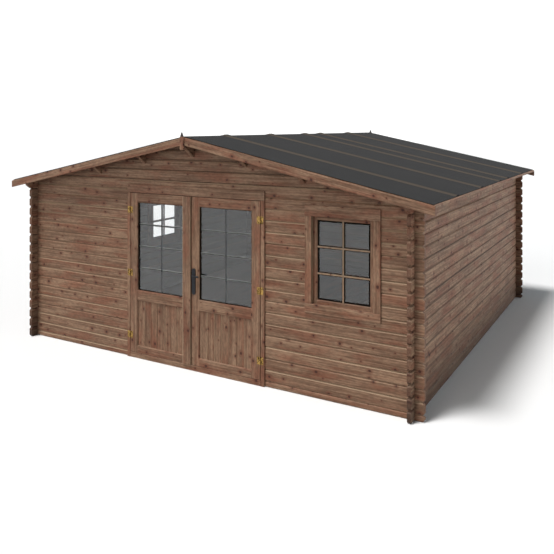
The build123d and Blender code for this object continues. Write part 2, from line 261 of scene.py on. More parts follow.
# %% Light the studio
def lamp(name, way, strength, spread, colour):
    """A sun lamp, with the direction that it comes from and the width of its disc in degrees."""
    made = bpy.data.objects.new(name, bpy.data.lights.new(name, "SUN"))
    made.data.energy = strength
    made.data.angle = math.radians(spread)
    made.data.color = colour
    made.data.cycles.use_multiple_importance_sampling = False
    made.rotation_euler = Vector(way).to_track_quat("Z", "Y").to_euler()
    scene.collection.objects.link(made)
    print("lamp:", name, strength)


lamp("top_lamp", (-0.19, -0.32, 1.0), 2.65, 15, (1.0, 0.99, 0.98))
lamp("front_lamp", (-0.35, -1.0, 0.36), 0.98, 50, (1.0, 0.99, 0.97))
lamp("side_lamp", (1.0, 0.1, 0.1), 1.35, 25, (0.86, 0.96, 1.0))

# %% Hang the sky
overhead_strength, horizon_gain, white_strength = 0.07, 0.55, 1.25
world = bpy.data.worlds.new("studio")
world.use_nodes = True
world.node_tree.nodes.clear()
scene.world = world
sky = Sheet(world.node_tree)
climb = sky.split(sky.node("ShaderNodeTexCoord", output="Generated"))[2].at_least(0.0)
dim = overhead_strength + horizon_gain * (1 - climb) * (1 - climb)
light = sky.node("ShaderNodeBackground", sockets={"Color": (0.88, 0.95, 1.0, 1.0), "Strength": dim})
white = sky.node("ShaderNodeBackground", sockets={"Color": (1.0, 1.0, 1.0, 1.0), "Strength": white_strength})
shown = sky.node("ShaderNodeMixShader", sockets={0: sky.in_view(), 1: light, 2: white})
sky.node("ShaderNodeOutputWorld", sockets={"Surface": shown})
print("sky:", overhead_strength, "overhead,", round(overhead_strength + horizon_gain, 2), "at the horizon")

# %% Lay the floor
ground = Finish("studio_floor")
matt = ground.node("ShaderNodeBsdfDiffuse", sockets={"Color": (0.38, 0.38, 0.38, 1.0)})
pale = ground.node("ShaderNodeBsdfDiffuse", sockets={"Color": (0.97, 0.97, 0.97, 1.0)})
ground.surface(ground.node("ShaderNodeMixShader", sockets={0: ground.in_view(), 1: matt, 2: pale}))

floor_reach, floor_level = 90.0, -0.0005
corners = [(x * floor_reach, y * floor_reach, floor_level) for x, y in ((-1, -1), (1, -1), (1, 1), (-1, 1))]
floor_mesh = bpy.data.meshes.new("floor")
floor_mesh.from_pydata(corners, [], [(0, 1, 2, 3)])
floor = bpy.data.objects.new("floor", floor_mesh)
floor.data.materials.append(ground.material)
scene.collection.objects.link(floor)

# %% [markdown]
# ## Sawn and stained softwood
# Every timber here is spruce under a brown stain: streaks and growth rings, red-brown knots, reddish and
# pale stretches, and end grain where a log is cut. A flat striped picture would be cheaper, but the stripes
# would run the wrong way on the ends. So the wood is worked out through the whole thickness: each piece has a
# pith somewhere beside it, the rings are distances from that pith, and a cut in any direction shows what it
# should. Where the grain runs is told by a short rule for each kind of timber, which gives a point's distance
# along the piece, up and across it from its middle, the piece's own number, and how much the surface is an
# end.

# %% The colours and measures of the wood
PALE, BROWN, RED = srgb(152, 121, 97), srgb(94, 64, 46), srgb(120, 69, 49)
# The next pale is the colour that painted highlights blend to on bevels, cheeks, edges and grooves, and the
# palest tone of the window bars.
HIGHLIGHT_PALE = srgb(168, 142, 116)
KNOT, HALO, END_GRAIN = srgb(56, 28, 18), srgb(102, 55, 38), srgb(88, 58, 44)
ALONG_X, ALONG_Y, UPRIGHT = 0, 1, 2
course = 0.114
ring_width = 0.0052
print("wood: courses of", course, "m, rings of", ring_width, "m")


# %% The timber finish
def timber(name, lay, tones=(PALE, BROWN, RED), knot_gap=0.22, knot_size=0.0115, row=course, stain_and_painted_light=None):
    """The wood of one kind of piece, to which a further step may add tar, darker joints, painted light or
    painted shade.
    """
    wood = Finish(name)
    along, up, across, piece, end = lay(wood, *wood.place())
    first, second, third = wood.dice(piece + 0.37)
    pale, brown, red = tones

    cell_x = along / knot_gap + first * 40
    cell_y = up / row + piece * 2.7
    cells = wood.node(
        "ShaderNodeTexVoronoi",
        {"voronoi_dimensions": "2D"},
        {"Vector": wood.join(cell_x, cell_y, 0.0), "Scale": 1.0, "Randomness": 0.9},
    )
    knot_x, knot_y, _ = wood.split(cells["Position"])
    luck, spare, _ = wood.split(cells["Color"])
    step_x = (cell_x - knot_x) * (knot_gap * 0.8)
    step_y = (cell_y - knot_y) * row
    ragged = wood.noise(along * 60, up * 60, across * 30) * 0.006 - 0.003
    away = (step_x * step_x + step_y * step_y).root() + ragged
    size = knot_size * (0.3 + 0.95 * luck) * (spare > 0.2) + 0.0004
    knot = 1 - (away / size).rise(0.6, 1.15)
    halo = 1 - (away / size).rise(0.8, 3.2)

    wander = wood.noise(along * 0.8 + piece * 7.3, up * 5, across * 5) * 0.03
    from_pith = up - (first - 0.5) * 0.1
    depth = across + (0.035 + 0.06 * second)
    ring = (from_pith * from_pith + depth * depth).root() + wander + halo * 0.006
    ring = (ring / ring_width).fraction()
    late = ring.rise(0.35, 0.9) - ring.rise(0.93, 1.0)
    streak = wood.noise(along * 1.8 + piece * 3.1, up * 62, across * 62, detail=4.0)
    fleck = wood.noise(along * 24 + piece * 4.3, up * 75, across * 75)
    fibre = wood.noise(along * 7, up * 230, across * 230)
    patch = wood.noise(along * 2.2 + piece * 5.1, up * 11, across * 11, detail=3.0)
    stain = wood.noise(along * 1.9 + piece * 9.7, up * 5, across * 5, detail=3.0)

    shade = streak.rise(0.37, 0.63) * 0.54 + late * 0.16 + stain.rise(0.38, 0.62) * 0.3
    colour = wood.blend(shade, pale, brown)
    colour = wood.blend(patch.rise(0.44, 0.66) * 0.55, colour, red)
    mottle = (0.82 + 0.36 * fibre) * (0.78 + 0.37 * fleck.rise(0.28, 0.66))
    colour = wood.scale(colour, (0.91 + 0.18 * third) * mottle)
    colour = wood.blend(halo * 0.6, colour, HALO)
    colour = wood.blend(knot * 0.95, colour, KNOT)
    colour = wood.blend(end * 0.55, colour, END_GRAIN)
    if stain_and_painted_light:
        colour = stain_and_painted_light(wood, colour, first)
    return wood.skin({
        "Base Color": colour,
        "Roughness": 0.55 + 0.2 * fibre,
        "Normal": wood.bump(fibre * 0.5 + late * 0.35 - knot * 0.3, 0.0009),
        "Specular IOR Level": 0.3,
    })


def ends(wood, direction):
    """How much the surface is an end, for wood that runs along X, Y or Z."""
    return abs(wood.facing()[direction]).rise(0.7, 0.9)


def dress(material, *names):
    """Gives solids their finish."""
    for name in names:
        slots = nodes[name].material_slots
        for slot in slots:
            slot.material = material
        if not slots:
            nodes[name].data.materials.append(material)


# %% [markdown]
# ## Logs
# The log courses of the gable walls lie half a course lower than those of the side walls, because the
# corners are notched half and half. The rule for the grain follows the same courses, so that each log has its
# own rings, tone and knots, and no knot runs across a joint. On the sunny front the bevels along the joints
# get a painted highlight, stronger on some logs than on others, and painted shade under the roof. On the
# other walls the bevels are darker, the foot gets painted shade, and the inside is painted dark as shade.

# %% The rule for logs
log_thickness = 0.04
wall_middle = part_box("right_wall")[1].x - log_thickness / 2
inner_face = wall_middle - log_thickness / 2
print("logs: middle of the walls at", round(wall_middle, 4))


def in_row(value, pitch):
    """The distance from the middle of the nearest member of a row, and the number of that member."""
    step = value / pitch
    return (step.fraction() - 0.5) * pitch, step.floor()


def log_lay(direction, drop, number):
    """A rule for a wall that runs along X or Y, with its courses dropped by some part of a course."""

    def lay(wood, x, y, z):
        along, out = (x, y) if direction == ALONG_X else (y, x)
        up, log = in_row(z + drop, course)
        return along, up, abs(out) - wall_middle, log + number, ends(wood, direction)

    return lay


# %% Painted light and shade, and darker joints, on the logs
eaves_shade = (1.8, 2.0)
face_margin = 0.001


def edge_highlight_and_eave_shade(wood, colour, luck):
    """Painted highlight on the bevels, more on upper ones of some logs, and painted shade on the lower ones
    under the roof.
    """
    _, out, up = wood.facing()
    bevel = abs(out).rise(0.3, 0.6)
    upper = up.rise(0.4, 0.65) * bevel
    lower = (0 - up).rise(0.4, 0.65) * bevel
    eave_shade_share = wood.place()[2].rise(*eaves_shade)
    # Painted shade darkens the lower bevels under the roof; a painted highlight lightens the bevels
    # elsewhere.
    colour = wood.scale(colour, 1 - 0.5 * eave_shade_share * lower)
    painted_highlight = upper * (0.1 + 0.75 * luck.rise(0.15, 0.95)) + lower * 0.45 * (1 - eave_shade_share)
    return wood.blend(painted_highlight, colour, HIGHLIGHT_PALE)


def darker_joints_and_painted_shade(wood, colour, luck):
    """Darker bevels along the joints, more on some logs than on others, and painted shade at the foot and
    inside.
    """
    x, y, z = wood.place()
    darker_joints = (0.1 + 0.45 * luck) * abs(wood.facing()[2]).rise(0.4, 0.65)
    # Painted shade: darker towards the foot, and dark on the inner faces, as in an unlit room.
    painted_foot_shade = 0.7 * (1 - z.rise(-0.05, 0.5))
    painted_inside_shade = 0.7 * (abs(x) < inner_face + face_margin) * (abs(y) < inner_face + face_margin)
    return wood.scale(colour, (1 - darker_joints) * (1 - painted_foot_shade) * (1 - painted_inside_shade))


# %% Finish the logs
for name, lay, stain_and_painted_light, log_nodes in (
    ("front_left_logs", log_lay(ALONG_X, course / 2, 0), edge_highlight_and_eave_shade, ("front_wall_left", "front_gable")),
    ("front_right_logs", log_lay(ALONG_X, course / 2, 30), edge_highlight_and_eave_shade, ("front_wall_right",)),
    ("rear_logs", log_lay(ALONG_X, course / 2, 60), darker_joints_and_painted_shade, ("rear_wall", "rear_gable")),
    ("left_logs", log_lay(ALONG_Y, 0.0, 90), darker_joints_and_painted_shade, ("left_wall",)),
    ("right_logs", log_lay(ALONG_Y, 0.0, 120), darker_joints_and_painted_shade, ("right_wall",)),
):
    dress(timber(name, lay, stain_and_painted_light=stain_and_painted_light), *log_nodes)

# %% [markdown]
# ## Roof timbers
# Barge boards lie along the slope, fascias and purlins run from front to rear, and the finials stand
# upright. Each gets the same wood with its own rule, measured from the slope of the roof. The finials' tips
# are dipped in tar.

# %% The rules for the roof timbers
deck_low, deck_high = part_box("roof_deck_right")
deck_thickness = 0.02
fall = (deck_high.z - deck_low.z - deck_thickness) / (deck_high.x - deck_low.x)
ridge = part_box("roof_felt_right")[1].z
purlin_spacing = 0.665
barge_depth, purlin_depth = 0.062, 0.08
barge_out, finial_out = 2.59, 2.61
print("roof: ridge at", round(ridge, 4), "fall", round(fall, 4))


def above_slope(x, z, depth=0.0):
    """How far a point lies above a line that follows the roof at some depth under its surface."""
    return z + fall * abs(x) - (ridge - depth)


def barge_lay(wood, x, y, z):
    piece = (x > 0) + (y > 0) * 2 + 200
    return x, above_slope(x, z, barge_depth), abs(y) - barge_out, piece, ends(wood, ALONG_X)


def lengthwise_lay(wood, x, y, z):
    across, line = in_row(x + purlin_spacing / 2, purlin_spacing)
    return y, above_slope(x, z, purlin_depth), across, line + 220, ends(wood, ALONG_Y)


def finial_lay(wood, x, y, z):
    return z, x, abs(y) - finial_out, (y > 0) + 240, ends(wood, UPRIGHT)


def tarred(wood, colour, luck):
    """A tip dipped in tar, above the felt."""
    return wood.blend(wood.place()[2].rise(ridge - 0.012, ridge + 0.002), colour, srgb(56, 52, 48))


# %% Finish the roof timbers
dress(timber("barge_timber", barge_lay), "front_barge_boards", "rear_barge_boards")
dress(timber("purlin_timber", lengthwise_lay), "eave_fascias", "ridge_purlin", "side_purlins")
dress(timber("finial_timber", finial_lay, row=0.06, stain_and_painted_light=tarred), "finials")

# %% [markdown]
# ## Joinery
# Door and window frames have upright and level members in one group of solids, and wood always runs along
# the member. One rule serves them all: it is told the middles of the posts and of the rails, and which points
# lie on a rail. In the leaves and casements the rails fit between the posts, in the frames they run over
# them.


# %% The rule for joinery
def nearest(value, middles):
    """The distance to the nearest of some middles, and the number of that one."""
    offset, number = value - middles[0], value * 0
    for before, after in zip(middles, middles[1:]):
        past = value > (before + after) / 2
        offset = offset - past * (after - before)
        number = number + past
    return offset, number


def framed(direction, posts, rails, on_rail, number):
    """A rule for a frame in a wall that runs along X or Y."""

    def lay(wood, x, y, z):
        side, out = (x, y) if direction == ALONG_X else (y, x)
        level = on_rail(side, z)
        post_offset, post = nearest(side, posts)
        rail_offset, rail = nearest(z, rails)
        along = z + (side - z) * level
        up = post_offset + (rail_offset - post_offset) * level
        piece = number + post + (rail + len(posts) - post) * level
        post_end = ends(wood, UPRIGHT)
        end = post_end + (ends(wood, direction) - post_end) * level
        return along, up, abs(out) - wall_middle, piece, end

    return lay


# %% Where posts and rails lie
below_all, above_all = -9.0, 9.0


def over_posts(low, high):
    """Rails that run over the posts, below one height and above another."""
    return lambda side, z: (z < low) + (z > high)


def between_posts(low, high):
    """Rails that fit between two posts."""
    return lambda side, z: (side > low) * (side < high)


def span(node, direction=ALONG_X):
    """The two ends of a node along its wall and its two heights."""
    low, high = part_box(node)
    return (low[direction], high[direction]), (low.z, high.z)


def between(outer, inner):
    """The middles of the members that fill the space between an outer and an inner size."""
    return [(outer[0] + inner[0]) / 2, (outer[1] + inner[1]) / 2]


def painted_cheek_light(direction, opening):
    """Painted light that makes the cheeks of an opening pale, where they would lie in shade."""
    reach = (opening[1] - opening[0]) / 2 + 0.002

    def stain_and_painted_light(wood, colour, luck):
        from_middle = abs(wood.place()[direction] - sum(opening) / 2)
        return wood.blend(ends(wood, direction) * (from_middle < reach) * 0.8, colour, HIGHLIGHT_PALE)

    return stain_and_painted_light


# %% Finish the windows' timber
for name, direction, number in (("front", ALONG_X, 400), ("left", ALONG_Y, 430)):
    frame_side, frame_height = span(f"{name}_window_frame", direction)
    sash_side, sash_height = span(f"{name}_window_casement", direction)
    glass_side, glass_height = span(f"{name}_window_glass", direction)
    posts, rails = between(frame_side, sash_side), between(frame_height, sash_height)
    lay = framed(direction, posts, rails, over_posts(*sash_height), number)
    stain_and_painted_light = painted_cheek_light(direction, sash_side)
    dress(timber(f"{name}_window_timber", lay, stain_and_painted_light=stain_and_painted_light), f"{name}_window_frame")
    posts, rails = between(sash_side, glass_side), between(sash_height, glass_height)
    lay = framed(direction, posts, rails, between_posts(*glass_side), number + 9)
    dress(timber(f"{name}_casement_timber", lay), f"{name}_window_casement")

# %% Finish the door frame's timber
sill_middle = 0.03
frame_side, frame_height = span("door_frame")
stop_side, stop_height = span("door_stops")
head_middle = (stop_height[1] + frame_height[1]) / 2
posts = between(frame_side, stop_side)
lay = framed(ALONG_X, posts, [head_middle], over_posts(below_all, stop_height[1]), 300)
dress(timber("door_frame_timber", lay), "door_frame", "door_stops")
lay = framed(ALONG_X, [0.0], [sill_middle], over_posts(above_all, above_all), 320)
dress(timber("sill_timber", lay), "door_sill")

# %% Finish the leaves' timber
for name, number in (("left", 340), ("right", 360)):
    leaf_side, leaf_height = span(f"{name}_door_frame")
    glass_side, glass_height = span(f"{name}_door_glass")
    _, panel_height = span(f"{name}_door_panel")
    foot_rail = (leaf_height[0] + panel_height[0]) / 2
    lock_rail = (panel_height[1] + glass_height[0]) / 2
    top_rail = (glass_height[1] + leaf_height[1]) / 2
    posts, rails = between(leaf_side, glass_side), [foot_rail, lock_rail, top_rail]
    lay = framed(ALONG_X, posts, rails, between_posts(*glass_side), number)
    dress(timber(f"{name}_leaf_timber", lay), f"{name}_door_frame")

# %% Finish the meeting strip
strip_side, _ = span("meeting_strip")
lay = framed(ALONG_X, [sum(strip_side) / 2], [0.0], over_posts(below_all, above_all), 380)


def painted_strip_light(wood, colour, luck):
    """Painted light on the meeting strip: a highlight on its left edge and a lighter right edge against the
    gap's shade.
    """
    x = wood.place()[0]
    edge = 1 - (x - strip_side[0]).rise(0.006, 0.016) + (x - strip_side[1]).rise(-0.003, -0.001)
    return wood.blend(edge * 0.75, colour, HIGHLIGHT_PALE)


dress(timber("strip_timber", lay, stain_and_painted_light=painted_strip_light), "meeting_strip")

# %% [markdown]
# ## Roofing felt
# The felt is a dark sheet strewn with fine slate chips. Chips a millimetre wide would alias into flicker
# from far off, so they only vary the tone slightly and raise the bump, and faint streaks run down the slope.
# Each lap has a bare, browner edge towards the front, where the sheet on top was cut. On the right slope the
# lip that is turned down over the barge boards took the stain of the wood, all but its upper edge.

# %% The felt finish
clean_lip = 0.006


def felt(name, edge=None):
    """Chipped felt, with the colour of its cut edge if it shows one."""
    sheet = Finish(name)
    x, y, z = sheet.place()
    chips = sheet.noise(x * 420, y * 420, z * 420, detail=3.0)
    cloud = sheet.noise(x * 1.3, y * 2.2, z, detail=4.0)
    run = sheet.noise(x * 0.7, y * 26, z * 0.7, detail=3.0)
    shade = chips * 0.5 + cloud * 0.3 + run * 0.25
    colour = sheet.blend(shade.rise(0.2, 0.9), srgb(22, 23, 24), srgb(39, 38, 38))
    out = sheet.facing()[1]
    if edge:
        colour = sheet.blend((0 - out).rise(0.1, 0.2), colour, edge)
    lip = abs(out).rise(0.7, 0.9) * (above_slope(x, z) < -clean_lip) * (x > 0)
    grain = sheet.noise(x * 3, y * 60, (z + fall * x) * 90, detail=4.0)
    colour = sheet.blend(lip, colour, sheet.blend(grain.rise(0.35, 0.65), PALE, BROWN))
    return sheet.skin({
        "Base Color": colour,
        "Roughness": 0.85 + 0.1 * chips,
        "Normal": sheet.bump(chips, 0.0015),
        "Specular IOR Level": 0.15,
    })


# %% Lay the felt
dress(felt("roofing_felt"), "roof_felt_left", "roof_felt_right")
dress(felt("felt_lap_finish", edge=srgb(76, 68, 60)), "felt_laps_left", "felt_laps_right")

# %% [markdown]
# ## Glass and metal
# The panes are real sheets with two faces, so the white studio is mirrored twice, which gives the flat grey
# of a dark room behind clear glass. The hinges are worn brass, the handles have a black coat, and the seals
# of the panes are black rubber that stands in as painted shade in the rebates, made by the same recipe
# without the metal.

# %% Finish the glass
pane = Finish("clear_glass")
glass = pane.skin({
    "Base Color": (0.99, 1.0, 1.0, 1.0),
    "Roughness": 0.0,
    "IOR": 1.6,
    "Transmission Weight": 1.0,
})
dress(glass, "left_door_glass", "right_door_glass", "front_window_glass", "left_window_glass")


# %% Finish the metal
def metal(name, clean, painted_highlight, metallic, rough, shine=0.5):
    """A worn coat in two tones, from its least roughness up."""
    sheet = Finish(name)
    x, y, z = sheet.place()
    wear = sheet.noise(x * 90, y * 90, z * 90, detail=4.0)
    brushed = sheet.noise(x * 900, y * 900, z * 60)
    return sheet.skin({
        "Base Color": sheet.blend(wear.rise(0.4, 0.64), clean, painted_highlight),
        "Metallic": metallic,
        "Roughness": rough + 0.25 * wear,
        "Normal": sheet.bump(brushed, 0.0001),
        "Specular IOR Level": shine,
    })


brass = metal("brass", srgb(178, 144, 84), srgb(44, 30, 12), 1.0, 0.22)
black = metal("black_coat", srgb(26, 27, 31), srgb(42, 42, 46), 0.0, 0.45, shine=0.2)
# Black rubber for the seals, which stand in as painted shade in the rebates.
shade_rubber = metal("seal_rubber", srgb(20, 15, 12), srgb(30, 24, 20), 0.0, 0.7, shine=0.05)
dress(brass, *(f"{side}_door_{part}_hinges" for side in ("left", "right") for part in ("frame", "leaf")))
dress(black, "outside_handle", "inside_handle_plate", "inside_lever", "outside_lever")

# %% [markdown]
# ## Shapes from rules
# Boards, bars, seals and screws repeat by a rule, so each is a tree of geometry nodes with named sizes. The
# tree is run once for every place where it is needed, its result is kept as a plain mesh, and the tree is
# taken off again. A matrix then moves the mesh to its place, and the object itself stays at the origin.

# %% The rule maker
same_point = 1e-6


class Rule(Sheet):
    """A geometry tree with named sizes."""

    def __init__(self, name, sizes):
        super().__init__(bpy.data.node_groups.new(name, "GeometryNodeTree"))
        self.tree.interface.new_socket("Geometry", in_out="OUTPUT", socket_type="NodeSocketGeometry")
        self.keys = {}
        for size, kind in sizes.items():
            socket = self.tree.interface.new_socket(size, in_out="INPUT", socket_type="NodeSocket" + kind)
            self.keys[size] = socket.identifier
        self.sizes = self.node("NodeGroupInput")

    def __getitem__(self, size):
        return self.sizes[size]

    def bar(self, end, width, thickness, bevel):
        """A straight bar from the origin to an end, with bevelled edges."""
        line = self.node("GeometryNodeCurvePrimitiveLine", sockets={"End": end})
        outline = {"Width": width, "Height": thickness}
        section = self.node("GeometryNodeCurvePrimitiveQuadrilateral", sockets=outline)
        corners = {0: section, "Count": 1, "Radius": bevel}
        section = self.node("GeometryNodeFilletCurve", {"mode": "POLY"}, corners)
        return self.node("GeometryNodeCurveToMesh", sockets={0: line, 1: section, "Fill Caps": True})

    def row(self, shape, count, start, offset):
        """A shape repeated in a straight row."""
        steps = {"Count": count, "Start Location": start, "Offset": offset}
        line = self.node("GeometryNodeMeshLine", sockets=steps)
        return self.node("GeometryNodeInstanceOnPoints", sockets={"Points": line, "Instance": shape})

    def realize(self, geometry):
        """Instances made into real faces."""
        return self.node("GeometryNodeRealizeInstances", sockets={0: geometry})

    def block(self, size, middle):
        """A box around a middle."""
        cube = self.node("GeometryNodeMeshCube", sockets={"Size": size})
        return self.node("GeometryNodeTransform", sockets={0: cube, "Translation": middle})

    def carve(self, operation, whole, others):
        """Solids united, or others cut out of a whole."""
        made = self.node("GeometryNodeMeshBoolean", {"operation": operation})
        if whole:
            self.tree.links.new(whole.link, made.link.node.inputs[0])
        for other in others:
            self.tree.links.new(other.link, made.link.node.inputs[1])
        return made

    def finish(self, geometry):
        """The end of the tree: real faces with their finish."""
        sockets = {0: self.realize(geometry), "Material": self["Material"]}
        self.node("NodeGroupOutput", sockets={0: self.node("GeometryNodeSetMaterial", sockets=sockets)})
        print("rule:", self.tree.name, "with", len(self.tree.nodes), "nodes")

    def make(self, name, body, slot, place, sizes, points=()):
        """Runs the rule, moves the plain mesh that it gives and lets it ride on a body."""
        mesh = bpy.data.meshes.new(name)
        mesh.from_pydata(points, [], [])
        piece = bpy.data.objects.new(name, mesh)
        scene.collection.objects.link(piece)
        modifier = piece.modifiers.new(name, "NODES")
        modifier.node_group = self.tree
        for size, value in sizes.items():
            modifier[self.keys[size]] = value
        made = piece.evaluated_get(bpy.context.evaluated_depsgraph_get())
        piece.data = bpy.data.meshes.new_from_object(made)
        piece.modifiers.clear()
        piece.data.transform(place)
        shell = bmesh.new()
        shell.from_mesh(piece.data)
        bmesh.ops.remove_doubles(shell, verts=shell.verts, dist=same_point)
        bmesh.ops.recalc_face_normals(shell, faces=shell.faces)
        for face in shell.faces:
            face.smooth = False
        shell.to_mesh(piece.data)
        shell.free()
        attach(piece, body)
        print("made:", name, len(piece.data.polygons), "faces")
        return piece


def axes(origin, x, y, z):
    """A matrix that takes a rule's own axes to directions on the cabin."""
    return Matrix([[x[i], y[i], z[i], origin[i]] for i in range(3)] + [[0, 0, 0, 1]])


# %% [markdown]
# ## Boards
# The roof deck, the floor and the lower door panels are rows of tongued boards with bevelled edges, which
# show as fine dark lines. One rule lays a row: boards along X, side by side along Y. The roof's boards run
# down the slope across the purlins, the floor's from front to rear across the bearers.

# %% The rule for boards
boards = Rule("board_row", {
    "Boards": "Int", "Pitch": "Float", "Gap": "Float", "Length": "Float",
    "Thickness": "Float", "Bevel": "Float", "Material": "Material",
})
plank_end = boards.join(boards["Length"], 0.0, 0.0)
plank = boards.bar(plank_end, boards["Pitch"] - boards["Gap"], boards["Thickness"], boards["Bevel"])
first_place = boards.join(0.0, boards["Pitch"] * 0.5, 0.0)
next_place = boards.join(0.0, boards["Pitch"], 0.0)
boards.finish(boards.row(plank, boards["Boards"], first_place, next_place))

board_gap, board_bevel = 0.0006, 0.0035


def board_row(name, body, slot, material, count, corner, length, row, thick):
    """A row of boards from a corner, with vectors along the boards, along the row and through them."""
    sizes = {
        "Boards": count, "Pitch": row.length / count, "Gap": board_gap, "Length": length.length,
        "Thickness": thick.length, "Bevel": board_bevel, "Material": material,
    }
    place = axes(corner + thick / 2, length.normalized(), row.normalized(), thick.normalized())
    return boards.make(name, body, slot, place, sizes)


# %% The timber of the lower door panels
panel_boards = 7
panel_low, panel_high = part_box("right_door_panel")
panel_pitch = (panel_high.x - panel_low.x) / panel_boards


def panel_lay(wood, x, y, z):
    up, board = in_row(abs(x) - panel_low.x, panel_pitch)
    return z, up, y + wall_middle, board + (x > 0) * 9 + 520, ends(wood, UPRIGHT)


def painted_groove_light(wood, colour, luck):
    """Painted light on the boards' edges, strong on some boards, where the grooves lie in shade."""
    edge = abs(wood.facing()[0]).rise(0.4, 0.65)
    return wood.blend(edge * (0.1 + 0.9 * luck.rise(0.35, 0.6)), colour, HIGHLIGHT_PALE)


# %% Board the lower door panels
panel_timber = timber("panel_timber", panel_lay, row=panel_pitch, stain_and_painted_light=painted_groove_light)
for side in ("left", "right"):
    low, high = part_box(f"{side}_door_panel")
    size = high - low
    panel = board_row(
        f"{side}_panel_boards", f"{side}_door", "door_timber", panel_timber, panel_boards, low,
        length=Vector((0, 0, size.z)), row=Vector((size.x, 0, 0)), thick=Vector((0, size.y, 0)),
    )
    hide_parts(f"{side}_door_panel")

# %% Board the roof deck
deck_boards = 57
deck_pitch = (deck_high.y - deck_low.y) / deck_boards


def deck_lay(wood, x, y, z):
    up, board = in_row(y - deck_low.y, deck_pitch)
    return x, up, above_slope(x, z), board + 600, ends(wood, ALONG_X)


fresh_wood = (srgb(176, 144, 116), srgb(138, 104, 80), srgb(148, 102, 78))
deck_timber = timber("deck_timber", deck_lay, fresh_wood, row=deck_pitch)
for side, sign in (("left", -1), ("right", 1)):
    low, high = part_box(f"roof_deck_{side}")
    corner = Vector((0, high.y if sign > 0 else low.y, high.z - deck_thickness))
    deck = board_row(
        f"{side}_deck_boards", "cabin", "roof_timber", deck_timber, deck_boards, corner,
        length=Vector((sign, 0, -fall)) * (high.x - low.x),
        row=Vector((0, high.y - low.y, 0)) * -sign,
        thick=Vector((0, 0, deck_thickness)),
    )
    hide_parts(f"roof_deck_{side}")

# %% Board the floor
floor_low, floor_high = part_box("floor_boards")
frame_half, frame_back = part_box("door_frame")[1].x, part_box("door_frame")[1].y
floor_pitch = 0.0997


def floor_lay(wood, x, y, z):
    up, board = in_row(x + frame_half, floor_pitch)
    return y, up, z - floor_low.z, board + 700, ends(wood, ALONG_Y)


floor_timber = timber("floor_timber", floor_lay, (BROWN, RED, KNOT), row=floor_pitch)
for name, start, end, near in (
    ("left", floor_low.x, -frame_half, floor_low.y),
    ("middle", -frame_half, frame_half, frame_back),
    ("right", frame_half, floor_high.x, floor_low.y),
):
    strip = board_row(
        f"{name}_floor_boards", "cabin", "floor_timber", floor_timber, round((end - start) / floor_pitch),
        Vector((end, near, floor_low.z)),
        length=Vector((0, floor_high.y - near, 0)),
        row=Vector((start - end, 0, 0)),
        thick=Vector((0, 0, floor_high.z - floor_low.z)),
    )
    if name == "middle":
        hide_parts("floor_boards")
dress(floor_timber, "floor_bearers")

# %% [markdown]
# ## Glazing bars and seals
# The doors have two panes by four and the windows two by three. On the windows the bars stand in front of
# the glass; on the doors they lie behind it, so they show only as faint lines in the mirrored white. One rule
# makes the grid: the uprights and the crossbars are joined into one solid, so that no face is left inside a
# crossing. A black rubber seal lines the rebate before each sheet of glass, and on the windows it lies under
# the bars too, as painted shade in the rebates and beside the bars. It is a block with a hole cut out for
# every opening.

# %% The rule for glazing bars
pane_sizes = {
    "Width": "Float", "Height": "Float", "Columns": "Int", "Rows": "Int", "Face": "Float", "Depth": "Float",
}
grid = Rule("glazing_bars", {**pane_sizes, "Bevel": "Float", "Material": "Material"})
upright = grid.bar(grid.join(0.0, grid["Height"], 0.0), grid["Face"], grid["Depth"], grid["Bevel"])
crossbar = grid.bar(grid.join(grid["Width"], 0.0, 0.0), grid["Face"], grid["Depth"], grid["Bevel"])
column = grid.join(grid["Width"] / grid["Columns"], 0.0, 0.0)
storey = grid.join(0.0, grid["Height"] / grid["Rows"], 0.0)
uprights = grid.realize(grid.row(upright, grid["Columns"] - 1, column, column))
crossbars = grid.realize(grid.row(crossbar, grid["Rows"] - 1, storey, storey))
grid.finish(grid.carve("UNION", None, [uprights, crossbars]))

# %% The rule for seals
# The seals are black sheets that stand in as painted shade in the rebates.
shade_seal = Rule("glazing_seal", {**pane_sizes, "Material": "Material"})
width, height, depth = shade_seal["Width"], shade_seal["Height"], shade_seal["Depth"]
whole = shade_seal.block(shade_seal.join(width, height, depth), shade_seal.join(width * 0.5, height * 0.5, depth * 0.5))
pane_width, pane_height = width / shade_seal["Columns"], height / shade_seal["Rows"]
lining = shade_seal["Face"] * 2
hole_size = shade_seal.join(pane_width - lining, pane_height - lining, depth * 2)
hole = shade_seal.block(hole_size, shade_seal.join(pane_width * 0.5, pane_height * 0.5, depth * 0.5))
start = shade_seal.join(0.0, 0.0, 0.0)
holes = shade_seal.row(hole, shade_seal["Columns"], start, shade_seal.join(pane_width, 0.0, 0.0))
holes = shade_seal.row(holes, shade_seal["Rows"], start, shade_seal.join(0.0, pane_height, 0.0))
shade_seal.finish(shade_seal.carve("DIFFERENCE", whole, [shade_seal.realize(holes)]))


# %% The finish of the window bars
def window_bar_lay(wood, x, y, z):
    return z, x + y, y - x, (x * 3).floor() + 800, ends(wood, UPRIGHT)


def painted_side_shade(direction):
    """Painted shade on all faces of a bar but the front."""

    def stain_and_painted_light(wood, colour, luck):
        return wood.scale(colour, 0.15 + 0.85 * abs(wood.facing()[direction]).rise(0.75, 0.95))

    return stain_and_painted_light


slim_wood = {"tones": (HIGHLIGHT_PALE, PALE, PALE), "knot_size": 0.004, "row": 0.05}
front_bar = timber("front_bar_timber", window_bar_lay, stain_and_painted_light=painted_side_shade(ALONG_Y), **slim_wood)
left_bar = timber("left_bar_timber", window_bar_lay, stain_and_painted_light=painted_side_shade(ALONG_X), **slim_wood)

# %% The door bars, with painted light on the crossbars and painted shade on the uprights
past_upright = 0.01
door_bar = Finish("door_bar_timber")
x, y, z = door_bar.place()
glass_low, glass_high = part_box("right_door_glass")
